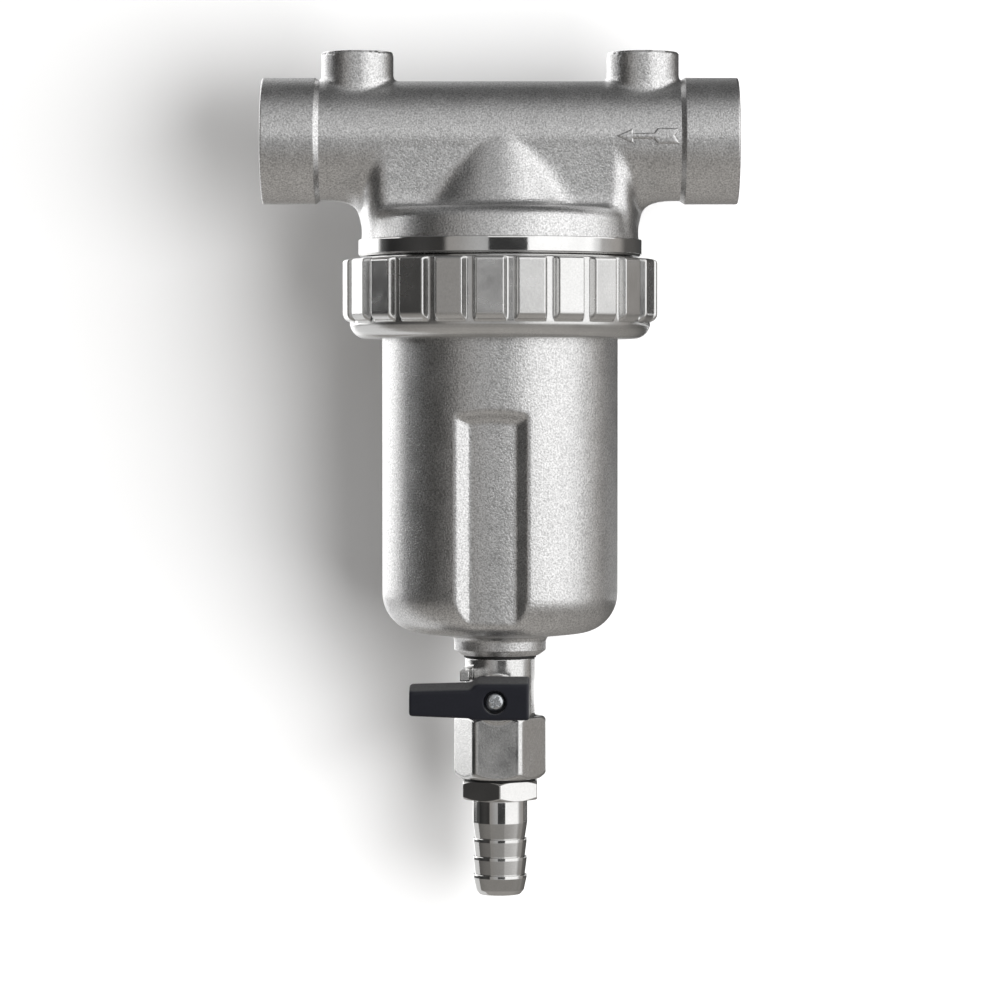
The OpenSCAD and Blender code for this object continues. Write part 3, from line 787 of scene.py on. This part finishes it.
# Slip ring, seat retainer and stem. All three are plain turned brass, hidden inside the filter.
# Their solids in the frame have the whole shape, so they only get their finish here.
turned_brass = plated("turned_brass", (0.72, 0.52, 0.24), 0.06, 0.24, 0.34, 0.00002)
dress(turned_brass, "slip_ring", "seat_retainer", "valve_stem")

# Drain valve. A forged ball valve body: a round barrel with a boss for the stem and a stop for the lever,
# and a hexagon for the spanner. Plated, with the tool marks smoothed by tumbling.
valve_turn = np.radians(-4.0)
stem_z = -150.0
gasket_face = -139.1
male_r = 8.3
male_top = gasket_face + 7.5
male_lap = 2.0
barrel_r = 9.4
barrel_lap = 3.0
hex_top = -155.0
hex_bottom = -171.9
hex_middle = (hex_top + hex_bottom) / 2
hex_half = 11.0
hex_corner = 1.1
hex_edge_round = 0.5
lower_cone_r = 12.6
lower_cone_z = hex_bottom + 1.6
lower_cone_slope = 1.2
upper_cone_r = 12.7
upper_cone_z = hex_top - 0.9
upper_cone_slope = 1.0
hex_fillet = 0.9
stem_boss_r = 6.0
stem_boss_out = 13.0
stem_boss_fillet = 1.0
stop_middle = np.array([-8.4, -9.5, stem_z + 6.75])
stop_half = np.array([0.8, 6.0, 1.05])
stop_round = 0.4
stop_fillet = 1.2
drain_way_r = 4.6
drain_way_low = -160.0
drain_way_high = -125.0
ball_room_r = 7.6
ball_room_low = stem_z - 7
ball_room_high = stem_z + 7
tail_room_r = 8.33
tail_room_low = -180.0
stem_way_r = 3.55
stem_room_r = 4.65
stem_room_out = 9.5
valve_way_edge = 0.3
valve_grid_low = (-14, -17, -173)
valve_grid_high = (14, 14, -131)
valve_grid_step = 0.3


def valve_piece(name, shape, body, material):
    """Piece from its points and faces, turned about the bowl axis as far as the screwed-in valve is."""
    points, faces = shape
    c, s = np.cos(valve_turn), np.sin(valve_turn)
    x, y, z = points[:, 0], points[:, 1], points[:, 2]
    turned = np.stack([c * x - s * y, s * x + c * y, z], -1)
    return finished_piece(name, turned, faces, body, material)


def valve_field(p):
    """Barrel, male end, hexagon, stem boss and stop run together, less the waterway."""
    x, y, z = p[..., 0], p[..., 1], p[..., 2]
    out = np.hypot(x, y)
    male = rod(x, y, z, male_r, gasket_face - male_lap, male_top)
    barrel = rod(x, y, z, barrel_r, hex_top - barrel_lap, gasket_face)
    sixth = np.pi / 3
    flats = [np.abs(x * np.sin(k * sixth) + y * np.cos(k * sixth)) for k in range(3)]
    facets = trimmed(trimmed(flats[0], flats[1], hex_corner), flats[2], hex_corner) - hex_half
    hexagon = trimmed(facets, np.abs(z - hex_middle) - (hex_top - hex_middle), hex_edge_round)
    lower_cone = slanted(out - lower_cone_r + (lower_cone_z - z) * lower_cone_slope, lower_cone_slope)
    upper_cone = slanted(out - upper_cone_r + (z - upper_cone_z) * upper_cone_slope, upper_cone_slope)
    hexagon = trimmed(hexagon, lower_cone, hex_edge_round)
    hexagon = trimmed(hexagon, upper_cone, hex_edge_round)
    boss = rod(x, z - stem_z, -y, stem_boss_r, 0, stem_boss_out)
    stop = block(p, stop_middle, stop_half) - stop_round
    body = np.minimum(male, barrel)
    body = joined(body, hexagon, hex_fillet)
    body = joined(body, boss, stem_boss_fillet)
    body = joined(body, stop, stop_fillet)
    ways = np.minimum.reduce([
        rod(x, y, z, drain_way_r, drain_way_low, drain_way_high),
        rod(x, y, z, ball_room_r, ball_room_low, ball_room_high),
        rod(x, y, z, tail_room_r, tail_room_low, ball_room_low),
        rod(x, z - stem_z, -y, stem_way_r, 0, stem_boss_out + past),
        rod(x, z - stem_z, -y, stem_room_r, 0, stem_room_out),
    ])
    return trimmed(body, -ways, valve_way_edge)


valve_nickel = plated("valve_nickel", (0.62, 0.617, 0.61), 0.12, 0.16, 0.28, 0.00001)
valve_shape = cast_surface(valve_field, valve_grid_low, valve_grid_high, valve_grid_step)
valve_shell = valve_piece("drain_valve_body", valve_shape, "bowl_unit", valve_nickel)
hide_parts("valve_body")

# Ball and seats. Inside the valve a chromed ball turns between two white sealing rings, and a white washer
# takes the thrust of the stem. Their solids in the frame have the whole shape.
chromed_ball = plated("chromed_ball", (0.8, 0.8, 0.8), 0.02, 0.05, 0.1, 0.000004)
seat_white = moulded("seat_white", (0.82, 0.82, 0.8), 0.32, 0.00001)
dress(chromed_ball, "ball")
dress(seat_white, "upper_seat", "lower_seat", "stem_washer")

# Drain lever. A die-cast lever with a black coating: a tapering arm and a block hub in one plate, whose
# upper edge slopes back, on a round skirt over the stem, screwed on from the front.
lever_tip = -23.0
arm_length = 25.0
arm_end = 2.0
arm_up = 4.6
arm_up_growth = 0.8
arm_down = 3.8
arm_down_growth = 0.9
arm_edge = 1.0
hub_left = -4.9
hub_right = 9.0
hub_up = 6.7
hub_down = 4.8
hub_edge = 0.8
hub_fillet = 0.6
shoulder_run = 1.8
shoulder_scale = 0.75
plan_scale = 0.8
plate_back = 14.8
plate_front = 19.5
plate_edge = 0.7
lever_bevel = 1.9
skirt_r = 4.6
skirt_back = 13.3
skirt_fillet = 0.6
screw_room_r = 3.1
screw_room_edge = 0.3
screw_seat = 17.0
lever_grid_low = (lever_tip - 2, -plate_front - 1, stem_z - 6)
lever_grid_high = (hub_right + 1.5, -12.3, stem_z + 8)
lever_grid_step = 0.22
# Painted highlight: the lever's edges that face partly upward are painted paler, in place of the light they
# catch from above; its flat tops and its sides stay black.
highlight_from = 0.35
highlight_rise = 0.25
highlight_to = 0.95
highlight_fall = 0.15
lever_gloss = 0.4
# Places of the colour sockets on a mix node.
mix_below = 6
mix_above = 7
mix_result = 2


def lever_field(p):
    """Arm and hub as one plate with a sloping upper edge, on a round skirt, less the screw's recess. The two
    scales bring offsets from slanting sides near to true distances."""
    x, y, z = p[..., 0], p[..., 1], p[..., 2]
    depth, up = -y, z - stem_z
    share = (x - lever_tip) / arm_length
    back_off = np.maximum(depth - plate_front + lever_bevel, 0)
    arm_upper = up - arm_up - arm_up_growth * share + back_off
    arm_lower = -up - arm_down - arm_down_growth * share
    arm = trimmed(np.maximum(arm_upper, arm_lower), np.maximum(lever_tip - x, x - arm_end), arm_edge)
    shoulder = (hub_left - np.clip(hub_up - back_off - up, 0, shoulder_run) - x) * shoulder_scale
    hub_height = np.maximum(up - hub_up + back_off, -up - hub_down)
    hub = trimmed(hub_height, np.maximum(shoulder, x - hub_right), hub_edge)
    plan = joined(arm, hub, hub_fillet) * plan_scale
    plate = trimmed(plan, np.maximum(depth - plate_front, plate_back - depth), plate_edge)
    skirt = rod(x, up, depth, skirt_r, skirt_back, plate_back + past)
    body = joined(plate, skirt, skirt_fillet)
    screw_room = rod(x, up, depth, screw_room_r, screw_seat, plate_front + 2 * past)
    return trimmed(body, -screw_room, screw_room_edge)


lever_black = moulded("lever_black", (0.01, 0.0112, 0.02), 0.36, 0.00002)
lever_highlight_tone = (0.115, 0.116, 0.119, 1)
lever_shape = cast_surface(lever_field, lever_grid_low, lever_grid_high, lever_grid_step)
lever = valve_piece("lever_arm", lever_shape, "lever_unit", lever_black)
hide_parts("drain_lever")
# Painted highlight: a paler tone goes on where the lever's normal faces partly up, in place of light from
# above.
lever_normals = np.zeros(len(lever.data.vertices) * 3, np.float32)
lever.data.vertices.foreach_get("normal", lever_normals)
facing_up = lever_normals.reshape(-1, 3)[:, 2]
painted_highlight = np.clip((facing_up - highlight_from) / highlight_rise, 0, 1)
painted_highlight = painted_highlight * np.clip((highlight_to - facing_up) / highlight_fall, 0, 1)
lever.data.attributes.new("painted_highlight", "FLOAT", "POINT").data.foreach_set("value", painted_highlight.astype(np.float32))
lever_tree = lever_black.node_tree
lever_surface = next(n for n in lever_tree.nodes if n.type == "GROUP")
lever_where = lever_tree.nodes.new("ShaderNodeAttribute")
lever_where.attribute_name = "painted_highlight"
# The painted highlight's paler tone is mixed into the lever's black here.
lever_tone = lever_tree.nodes.new("ShaderNodeMix")
lever_tone.data_type = "RGBA"
lever_tone.inputs[mix_below].default_value = lever_surface.inputs["Tone"].default_value
lever_tone.inputs[mix_above].default_value = lever_highlight_tone
lever_tree.links.new(lever_where.outputs["Fac"], lever_tone.inputs["Factor"])
lever_tree.links.new(lever_tone.outputs[mix_result], lever_surface.inputs["Tone"])
lever_tree.nodes["Principled BSDF"].inputs["Specular IOR Level"].default_value = lever_gloss

# Lever screw. A zinc-plated pan-head screw with a cross recess, sunk into the lever's hub.
# Its plain shank ends inside the stem.
screw_head_r = 2.6
screw_head_top = 18.9
screw_head_edge = 0.3
dome_middle = 14.6
dome_r = 4.35
shank_r = 1.45
shank_back = 10.0
shank_front = 17.5
slot_turn = 0.5
slot_half = 0.36
slot_reach = 1.5
slot_floor = 17.7
slot_edge = 0.12
screw_grid_low = (-3.2, -19.6, stem_z - 3.2)
screw_grid_high = (3.2, -9.5, stem_z + 3.2)
screw_grid_step = 0.13


def screw_field(p):
    """Domed head with two crossed slots, on a plain shank."""
    x, depth, up = p[..., 0], -p[..., 1], p[..., 2] - stem_z
    out = np.hypot(x, up)
    dome = np.sqrt(out ** 2 + (depth - dome_middle) ** 2) - dome_r
    head = trimmed(rod(x, up, depth, screw_head_r, screw_seat, screw_head_top), dome, screw_head_edge)
    shank = rod(x, up, depth, shank_r, shank_back, shank_front)
    a = np.abs(x * np.cos(slot_turn) - up * np.sin(slot_turn))
    b = np.abs(x * np.sin(slot_turn) + up * np.cos(slot_turn))
    one_way = np.maximum(a - slot_half, b - slot_reach)
    other_way = np.maximum(b - slot_half, a - slot_reach)
    cross = np.maximum(np.minimum(one_way, other_way), slot_floor - depth)
    return trimmed(np.minimum(head, shank), -cross, slot_edge)


zinc_plate = plated("zinc_plate", (0.6, 0.62, 0.64), 0.05, 0.2, 0.3, 0.00001)
screw_shape = cast_surface(screw_field, screw_grid_low, screw_grid_high, screw_grid_step)
screw = valve_piece("lever_pan_screw", screw_shape, "lever_unit", zinc_plate)
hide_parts("lever_screw")

# Hose tail. Turned from hexagon bar and polished before plating: a spanner hexagon, a plain tail and
# three barbs that hold the hose. The hexagon is the bar's own section, cut across by the turned ends.
tail_top = -172.4
tail_plain = -177.4
barb_start = -183.8
tail_hex_half = 10.0
tail_hex_r = 11.7
tail_hex_face_r = 10.4
tail_hex_upper = tail_top - 0.75
tail_hex_lower = tail_plain + 0.8
tail_hex_from = 8.5
tail_hex_round = 0.35
plug_r = 8.2
plug_top = tail_top + 9
tail_r = 7.37
root_r = 6.7
barb_r = 7.2
barb_count = 3
barb_pitch = 4.9
barb_foot = 0.62
barb_upper = 0.55
barb_lower = 0.25
tail_end = -203.3
tip_r = root_r - 0.25
tip_bevel = 1.2
tail_bore = 4.8
tail_step = 0.3
barbs = []
for k in range(barb_count):
    crest = barb_start - (k + 1) * barb_pitch
    barbs.append((root_r, crest + barb_foot, 0.05))
    barbs.append((barb_r, crest + barb_upper, 0.05))
    barbs.append((barb_r, crest - barb_lower, 0.08))
tail_line = evenly(rounded([
    (tail_bore, plug_top, 0.2), (plug_r, plug_top, 0.5), (plug_r, tail_top, 0.1),
    (tail_hex_face_r, tail_top, 0.2), (tail_hex_r, tail_hex_upper, 0.2), (tail_hex_r, tail_hex_lower, 0.2),
    (tail_hex_face_r, tail_plain, 0.2), (tail_r, tail_plain, 0.4), (tail_r, barb_start, 0.3), *barbs,
    (tip_r, tail_end + tip_bevel, 0.8), (root_r - tip_bevel, tail_end, 0.5), (tail_bore, tail_end, 0.3),
]), tail_step)
tail_turn = turns(240)
flat_off = tail_turn % (np.pi / 3) - np.pi / 6
hex_edge = tail_hex_half / np.cos(flat_off)
in_hex = tail_line[:, 0] > tail_hex_from
tail_radius = np.where(in_hex, softer(tail_line[:, 0], hex_edge, tail_hex_round, -1), tail_line[:, 0])
tail_round = spun(tail_turn, tail_radius, tail_line[:, 1])
polished_nickel = plated("polished_nickel", (0.64, 0.635, 0.625), 0.03, 0.06, 0.11, 0.000003)
tail = ring_piece("barbed_tail", tail_round, "bowl_unit", polished_nickel)
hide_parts("hose_tail")

# Backdrop. A white wall close behind the part that takes its shadow. It comes nearer behind the thin valve
# than behind the wide head, and it is clear when seen from behind.
wall_far = 0.047
wall_near = 0.03
wall_half_width = 2.0
wall_half_height = 1.5
bend_low = -0.175
bend_high = -0.06
bend_rows = 13
paper_white = (0.95, 0.95, 0.95, 1)
paper_roughness = 0.9
wall_z = np.array([-wall_half_height, *np.linspace(bend_low, bend_high, bend_rows), wall_half_height])
wall_bend = np.clip((wall_z - bend_low) / (bend_high - bend_low), 0, 1)
wall_y = wall_near + (wall_far - wall_near) * wall_bend * wall_bend * (3 - 2 * wall_bend)
wall_rows = len(wall_z)
wall_points = [(x, y, z) for x in (-wall_half_width, wall_half_width) for y, z in zip(wall_y, wall_z)]
wall = bpy.data.meshes.new("backdrop_wall")
wall_faces = [(k, k + wall_rows, k + wall_rows + 1, k + 1) for k in range(wall_rows - 1)]
wall.from_pydata(wall_points, [], wall_faces)
wall.shade_smooth()
wall_object = placed("backdrop_wall", wall)
paper = bpy.data.materials.new("white_paper")
paper.use_nodes = True
paper_tree = paper.node_tree
paper_shader = paper_tree.nodes["Principled BSDF"]
paper_shader.inputs["Base Color"].default_value = paper_white
paper_shader.inputs["Roughness"].default_value = paper_roughness
paper_shader.inputs["Specular IOR Level"].default_value = 0
paper_clear = paper_tree.nodes.new("ShaderNodeBsdfTransparent")
paper_side = paper_tree.nodes.new("ShaderNodeMixShader")
paper_view = paper_tree.nodes.new("ShaderNodeNewGeometry")
paper_tree.links.new(paper_view.outputs["Backfacing"], paper_side.inputs["Fac"])
paper_tree.links.new(paper_shader.outputs["BSDF"], paper_side.inputs[1])
paper_tree.links.new(paper_clear.outputs["BSDF"], paper_side.inputs[2])
paper_tree.links.new(paper_side.outputs["Shader"], paper_tree.nodes["Material Output"].inputs["Surface"])
wall.materials.append(paper)
wall_object.visible_glossy = False

# Studio light. The room is drawn on the world by compass direction: a broad white box on the right, a weaker
# one left of the camera with the dark camera between them, a bright edge behind on the left, dark elsewhere,
# a grey table below and a dim ceiling. A lamp lights the wall alone, so that the shadow falls to the left.
# The camera itself sees a plain pale surround.
part_middle = np.array([crossing[0], 0.0, -0.09])
# Compass degrees from the camera's side, brightness and warmth.
room_stops = [
    (-180, 0.5, 0), (-160, 2.0, 0), (-121, 2.0, 0), (-112, 0.1, 0), (-100, 0.03, 0), (-66, 0.06, 0.02),
    (-47, 0.045, 0.04), (-42, 0.36, 0.04), (-13, 0.52, 0), (17, 0.64, 0), (23, 1.42, 0), (78, 1.42, 0),
    (86, 0.95, 0), (92, 0.5, 0.02), (110, 0.42, 0.05), (124, 0.12, 0.04), (172, 0.06, 0), (180, 0.5, 0),
]
room_peak = 2.5
pale_surround = 0.9
table_near = 0.41
table_far = 0.28
table_tint = (1.04, 1.0, 0.95)
ceiling_front = 0.54
ceiling_back = 0.12
table_run = (-0.4, -0.95)
table_edge = (-0.1, -0.48)
ceiling_run = (-0.8, 0.1)
ceiling_edge = (0.5, 0.9)
lamp_size = 0.75
lamp_energy = 8.5
lamp_offset = np.array([0.5, -0.75, -0.045])
# Spans of X, Y and Z on the world's sphere, and the brightness there.
room_patches = [
    ((-1.1, -0.45), (0.12, 1.1), (-0.16, -0.094), 0.1),
    ((-1.1, -0.35), (0.3, 1.1), (-0.9, -0.16), 0.85),
    ((-1.1, -0.88), (0.0, 0.45), (0.14, 0.4), 2.0),
    ((0.8, 1.1), (-0.3, 0.3), (0.12, 0.65), 1.42),
    ((0.3, 0.95), (-0.85, -0.1), (0.42, 0.82), 1.42),
    ((0.05, 0.82), (0.5, 1.1), (-0.09, -0.064), 1.9),
    ((-0.16, 0.48), (-1.1, -0.5), (0.1, 0.28), 1.2),
    ((-0.16, 0.38), (-1.1, -0.5), (-0.135, 0.09), 0.05),
]
patch_edge = 0.008
world = bpy.data.worlds.new("studio")
world.use_nodes = True
room = world.node_tree
room_axes = room.nodes.new("ShaderNodeSeparateXYZ")
room.links.new(room.nodes.new("ShaderNodeTexCoord").outputs["Generated"], room_axes.inputs[0])
room_front = calculated(room, "MULTIPLY", room_axes.outputs["Y"], -1)
room_turn = calculated(room, "ARCTAN2", room_axes.outputs["X"], room_front)
room_share = room.nodes.new("ShaderNodeMapRange")
room_share.inputs["From Min"].default_value = -np.pi
room_share.inputs["From Max"].default_value = np.pi
room.links.new(room_turn, room_share.inputs["Value"])
room_ramp = room.nodes.new("ShaderNodeValToRGB")
room_ramp.color_ramp.interpolation = "EASE"
for degrees, *_ in room_stops[1:-1]:
    room_ramp.color_ramp.elements.new((degrees + 180) / 360)
for element, (degrees, bright, warmth) in zip(room_ramp.color_ramp.elements, room_stops):
    element.position = (degrees + 180) / 360
    element.color = (*(bright / room_peak * np.array([1 + warmth, 1, 1 - warmth])), 1)
room.links.new(room_share.outputs["Result"], room_ramp.inputs["Fac"])


def room_fade(along, start, end, low, high):
    """Goes smoothly from one value to another between two places on an axis of the world's sphere."""
    fade = room.nodes.new("ShaderNodeMapRange")
    fade.interpolation_type = "SMOOTHSTEP"
    fade.inputs["From Min"].default_value = start
    fade.inputs["From Max"].default_value = end
    fade.inputs["To Min"].default_value = low
    fade.inputs["To Max"].default_value = high
    room.links.new(room_axes.outputs[along], fade.inputs["Value"])
    return fade.outputs["Result"]


def room_mix(below, above, share):
    """Lays one tone over another."""
    mix = room.nodes.new("ShaderNodeMix")
    mix.data_type = "RGBA"
    room.links.new(share, mix.inputs["Factor"])
    room.links.new(below, mix.inputs[mix_below])
    if isinstance(above, float):
        mix.inputs[mix_above].default_value = (above, above, above, 1)
    else:
        room.links.new(above, mix.inputs[mix_above])
    return mix.outputs[mix_result]


def room_window(spans):
    """One inside the given spans of X, Y and Z on the world's sphere, zero outside: the product of a rise
    at the start and a fall at the end of each span."""
    whole = 1
    for along, (low, high) in zip("XYZ", spans):
        rise = room_fade(along, low - patch_edge, low + patch_edge, 0, 1)
        fall = room_fade(along, high - patch_edge, high + patch_edge, 1, 0)
        whole = calculated(room, "MULTIPLY", whole, calculated(room, "MULTIPLY", rise, fall))
    return whole


def aimed(item, place, target):
    """Puts a lamp or a camera at a place and turns its front to the target."""
    item.location = place
    item.rotation_mode = "QUATERNION"
    item.rotation_quaternion = (Vector(target) - item.location).to_track_quat("-Z", "Y")


table = room.nodes.new("ShaderNodeVectorMath")
table.operation = "SCALE"
table.inputs[0].default_value = table_tint
table_fade = room_fade("Z", *table_run, table_far / room_peak, table_near / room_peak)
room.links.new(table_fade, table.inputs["Scale"])
ceiling_tone = room_fade("Y", *ceiling_run, ceiling_front / room_peak, ceiling_back / room_peak)
room_tone = room_mix(room_ramp.outputs["Color"], table.outputs["Vector"], room_fade("Z", *table_edge, 0, 1))
room_tone = room_mix(room_tone, ceiling_tone, room_fade("Z", *ceiling_edge, 0, 1))
for *spans, bright in room_patches:
    room_tone = room_mix(room_tone, bright / room_peak, room_window(spans))
room_sight = room.nodes.new("ShaderNodeLightPath").outputs["Is Camera Ray"]
room_tone = room_mix(room_tone, pale_surround / room_peak, room_sight)
room.links.new(room_tone, room.nodes["Background"].inputs["Color"])
room.nodes["Background"].inputs["Strength"].default_value = room_peak
bpy.context.scene.world = world

wall_lamp_data = bpy.data.lights.new("wall_lamp", "AREA")
wall_lamp_data.shape = "DISK"
wall_lamp_data.size = lamp_size
wall_lamp_data.energy = lamp_energy
wall_lamp = placed("wall_lamp", wall_lamp_data)
aimed(wall_lamp, part_middle + lamp_offset, part_middle)
wall_lamp.visible_camera = False
wall_only = bpy.data.collections.new("wall_only")
wall_only.objects.link(wall_object)
wall_lamp.light_linking.receiver_collection = wall_only

# Camera. It stands at the photograph's place: a long lens a little over a metre in front of the part,
# slightly above its middle and aimed a little below it.
camera_distance = 1.134
camera_z = -0.0645
aim_z = -0.0967
sensor_width = 36
focal_length = 151.2
camera_data = bpy.data.cameras.new("camera")
camera_data.sensor_width = sensor_width
camera_data.lens = focal_length
camera = placed("camera", camera_data)
aimed(camera, (crossing[0], -camera_distance, camera_z), (crossing[0], 0, aim_z))
bpy.context.scene.camera = camera
bpy.context.scene.view_settings.view_transform = "Standard"
